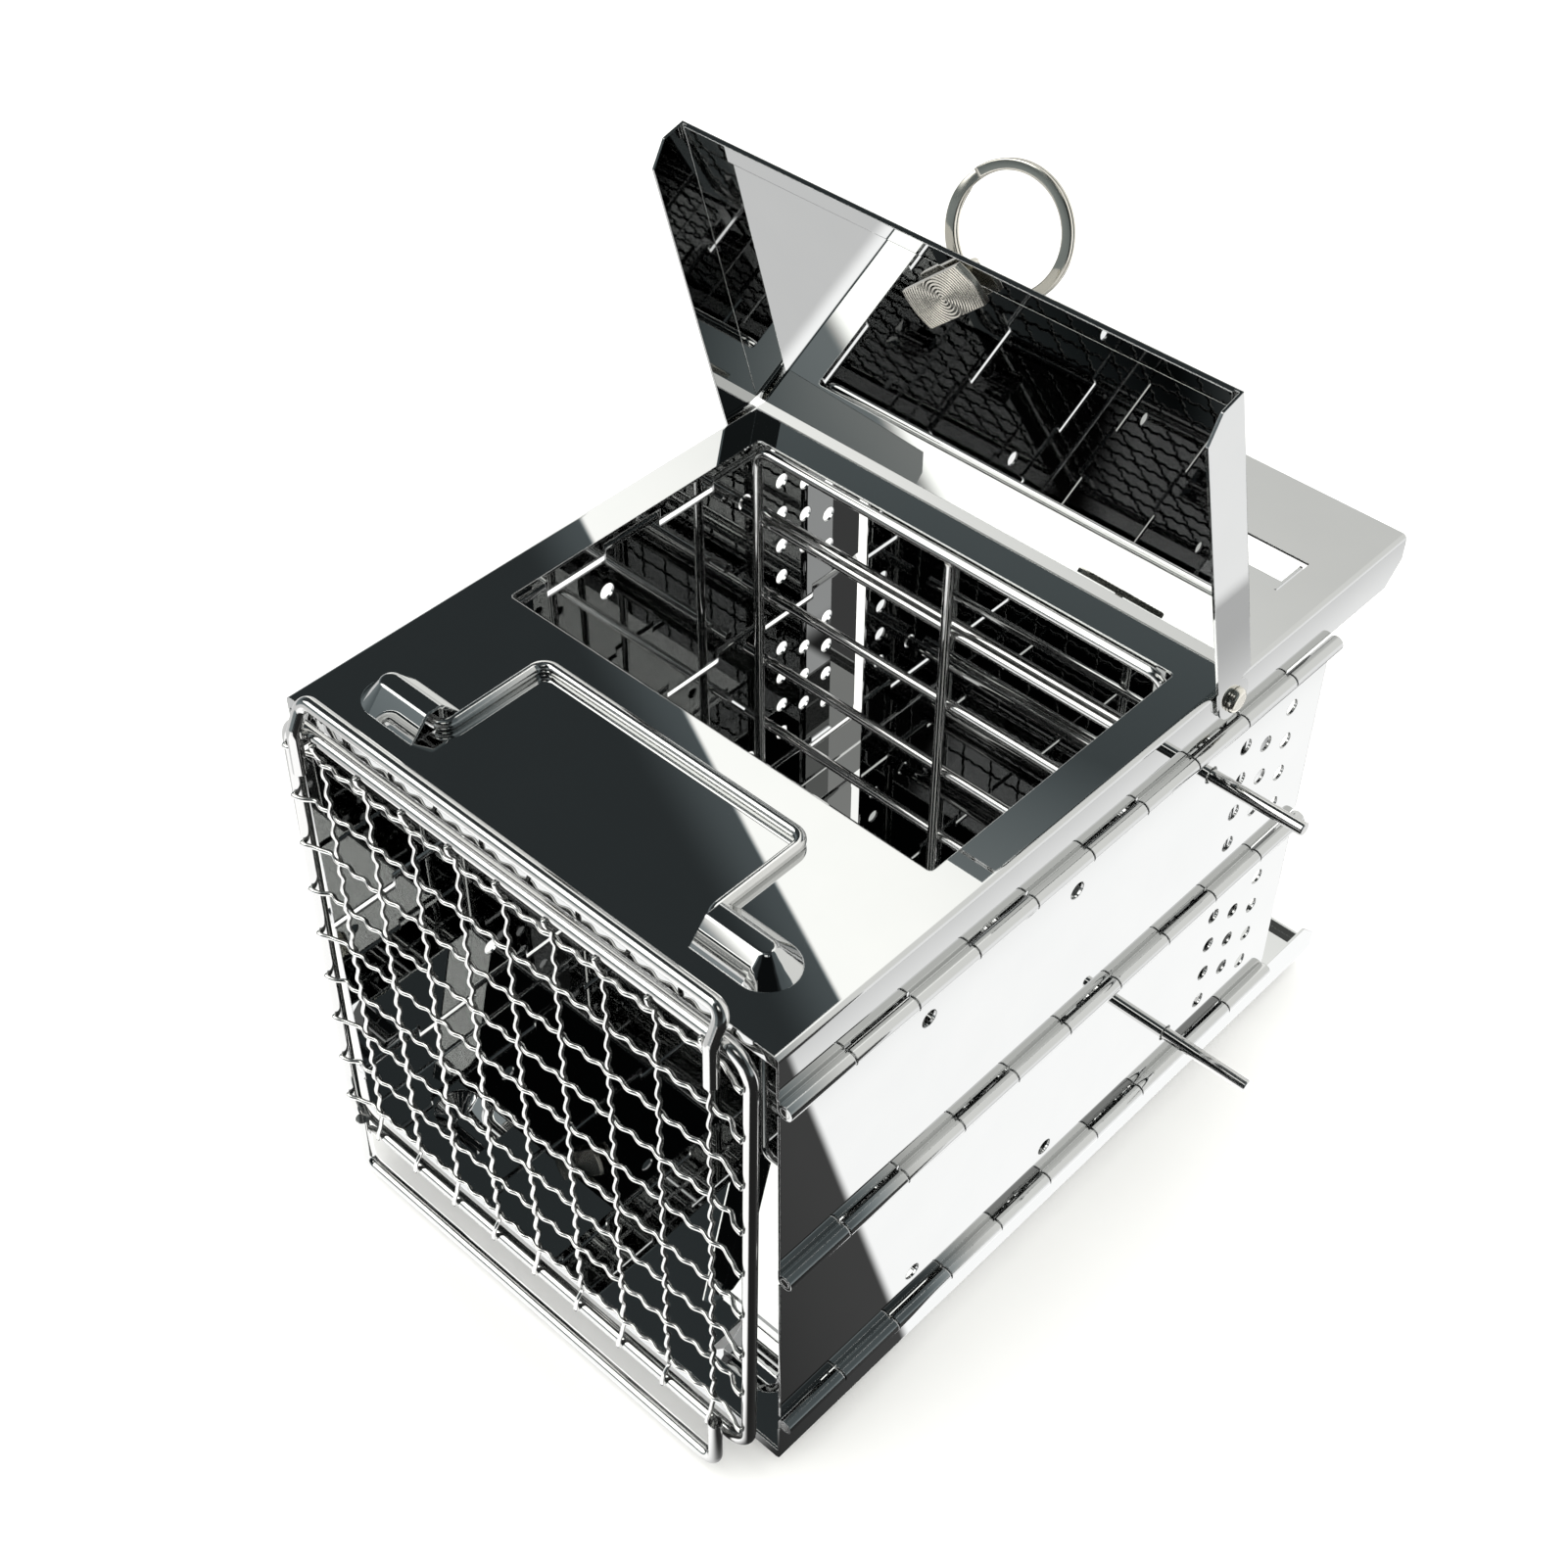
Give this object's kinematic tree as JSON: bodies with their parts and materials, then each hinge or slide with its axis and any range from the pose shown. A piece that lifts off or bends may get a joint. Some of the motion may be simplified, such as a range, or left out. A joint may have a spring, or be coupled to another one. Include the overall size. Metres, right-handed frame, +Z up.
{
  "type": "folding small-animal cage",
  "caption": "Hinged mirror-steel small-animal cage with a woven mesh front, hatch lid with pull ring, wire divider on cross rods, lift-out rear door and wire carry handle.",
  "frame": {"origin": "middle of the floor sheet's underside", "axes": "+Z up, -Y towards the mesh front, +X to the right seen from the mesh front"},
  "size_m": [0.158, 0.2011, 0.2254],
  "materials": {
    "mirror_sheet": "mirror-polished stainless sheet",
    "bright_wire": "bright drawn stainless wire",
    "plated_fittings": "nickel-plated small fittings"
  },
  "bodies": {
    "tray": {"base_tray": "mirror_sheet", "left_bottom_hinge_pin": "mirror_sheet", "right_bottom_hinge_pin": "mirror_sheet"},
    "left_lower_side": {"left_lower_panel": "mirror_sheet", "left_middle_hinge_pin": "mirror_sheet"},
    "left_upper_side": {"left_upper_panel": "mirror_sheet"},
    "right_lower_side": {"right_lower_panel": "mirror_sheet", "right_middle_hinge_pin": "mirror_sheet"},
    "right_upper_side": {"right_upper_panel": "mirror_sheet"},
    "top": {"top_panel": "mirror_sheet", "left_top_hinge_pin": "mirror_sheet", "right_top_hinge_pin": "mirror_sheet", "lid_rivets": "plated_fittings"},
    "lid": {"lid": "mirror_sheet"},
    "latch": {"latch_plate": "plated_fittings", "ring_eye": "plated_fittings"},
    "pull_ring": {"split_ring": "plated_fittings"},
    "handle": {"carry_handle": "bright_wire"},
    "upper_rod": {"upper_cross_rod": "bright_wire"},
    "lower_rod": {"lower_cross_rod": "bright_wire"},
    "door": {"rear_door": "mirror_sheet"},
    "divider": {"divider_frame": "bright_wire", "divider_middle_wire": "bright_wire", "divider_bars": "bright_wire"},
    "mesh_front": {"mesh_frame": "bright_wire", "mesh_upright_wires": "bright_wire", "mesh_level_wires": "bright_wire", "mesh_grip": "bright_wire", "mesh_foot": "bright_wire"}
  },
  "joints": [
    {"name": "side_fold", "type": "hinge", "parent": "tray", "child": "left_lower_side", "pos_m": [-0.06665, 0, 0.0136], "axis": [0, 1, 0], "range_deg": [0, 2.5]},
    {"name": "left_middle_fold", "type": "hinge", "parent": "left_lower_side", "child": "left_upper_side", "pos_m": [-0.06665, 0, 0.065], "axis": [0, 1, 0], "range_deg": [-5, 0]},
    {"name": "left_top_fold", "type": "hinge", "parent": "left_upper_side", "child": "top", "pos_m": [-0.06665, 0, 0.1164], "axis": [0, 1, 0], "range_deg": [0, 2.5]},
    {"name": "right_bottom_fold", "type": "hinge", "parent": "tray", "child": "right_lower_side", "pos_m": [0.06665, 0, 0.0136], "axis": [0, 1, 0], "range_deg": [-2.5, 0]},
    {"name": "right_middle_fold", "type": "hinge", "parent": "right_lower_side", "child": "right_upper_side", "pos_m": [0.06665, 0, 0.065], "axis": [0, 1, 0], "range_deg": [0, 5]},
    {"name": "lid_hinge", "type": "hinge", "parent": "top", "child": "lid", "pos_m": [0, 0.0329, 0.1262], "axis": [-1, 0, 0], "range_deg": [-75, 15]},
    {"name": "latch_turn", "type": "hinge", "parent": "lid", "child": "latch", "pos_m": [0.002, 0.01904, 0.19765], "axis": [0, 0.9659, 0.2588], "range_deg": [-47, 43]},
    {"name": "ring_swing", "type": "hinge", "parent": "latch", "child": "pull_ring", "pos_m": [0.002, 0.02309, 0.19873], "axis": [0.9848, 0.0449, -0.1677], "range_deg": [-120, 20]},
    {"name": "handle_swing", "type": "hinge", "parent": "top", "child": "handle", "pos_m": [0, -0.0817, 0.1319], "axis": [1, 0, 0], "range_deg": [0, 100]},
    {"name": "upper_rod_slide", "type": "slide", "parent": "top", "child": "upper_rod", "axis": [1, 0, 0], "range_m": [0, 0.14]},
    {"name": "lower_rod_slide", "type": "slide", "parent": "tray", "child": "lower_rod", "axis": [1, 0, 0], "range_m": [0, 0.14]},
    {"name": "rear_door_lift", "type": "slide", "parent": "tray", "child": "door", "axis": [0, 0, 1], "range_m": [0, 0.13]},
    {"name": "divider_slide", "type": "slide", "parent": "tray", "child": "divider", "axis": [0, -1, 0], "range_m": [0, 0.0435]},
    {"name": "mesh_front_lift", "type": "slide", "parent": "tray", "child": "mesh_front", "axis": [0, 0, 1], "range_m": [0, 0.14]}
  ],
  "couplings": [
    {"joint": "left_middle_fold", "follows": "side_fold", "ratio": -2},
    {"joint": "left_top_fold", "follows": "side_fold", "ratio": 1},
    {"joint": "right_bottom_fold", "follows": "side_fold", "ratio": -1},
    {"joint": "right_middle_fold", "follows": "side_fold", "ratio": 2}
  ]
}
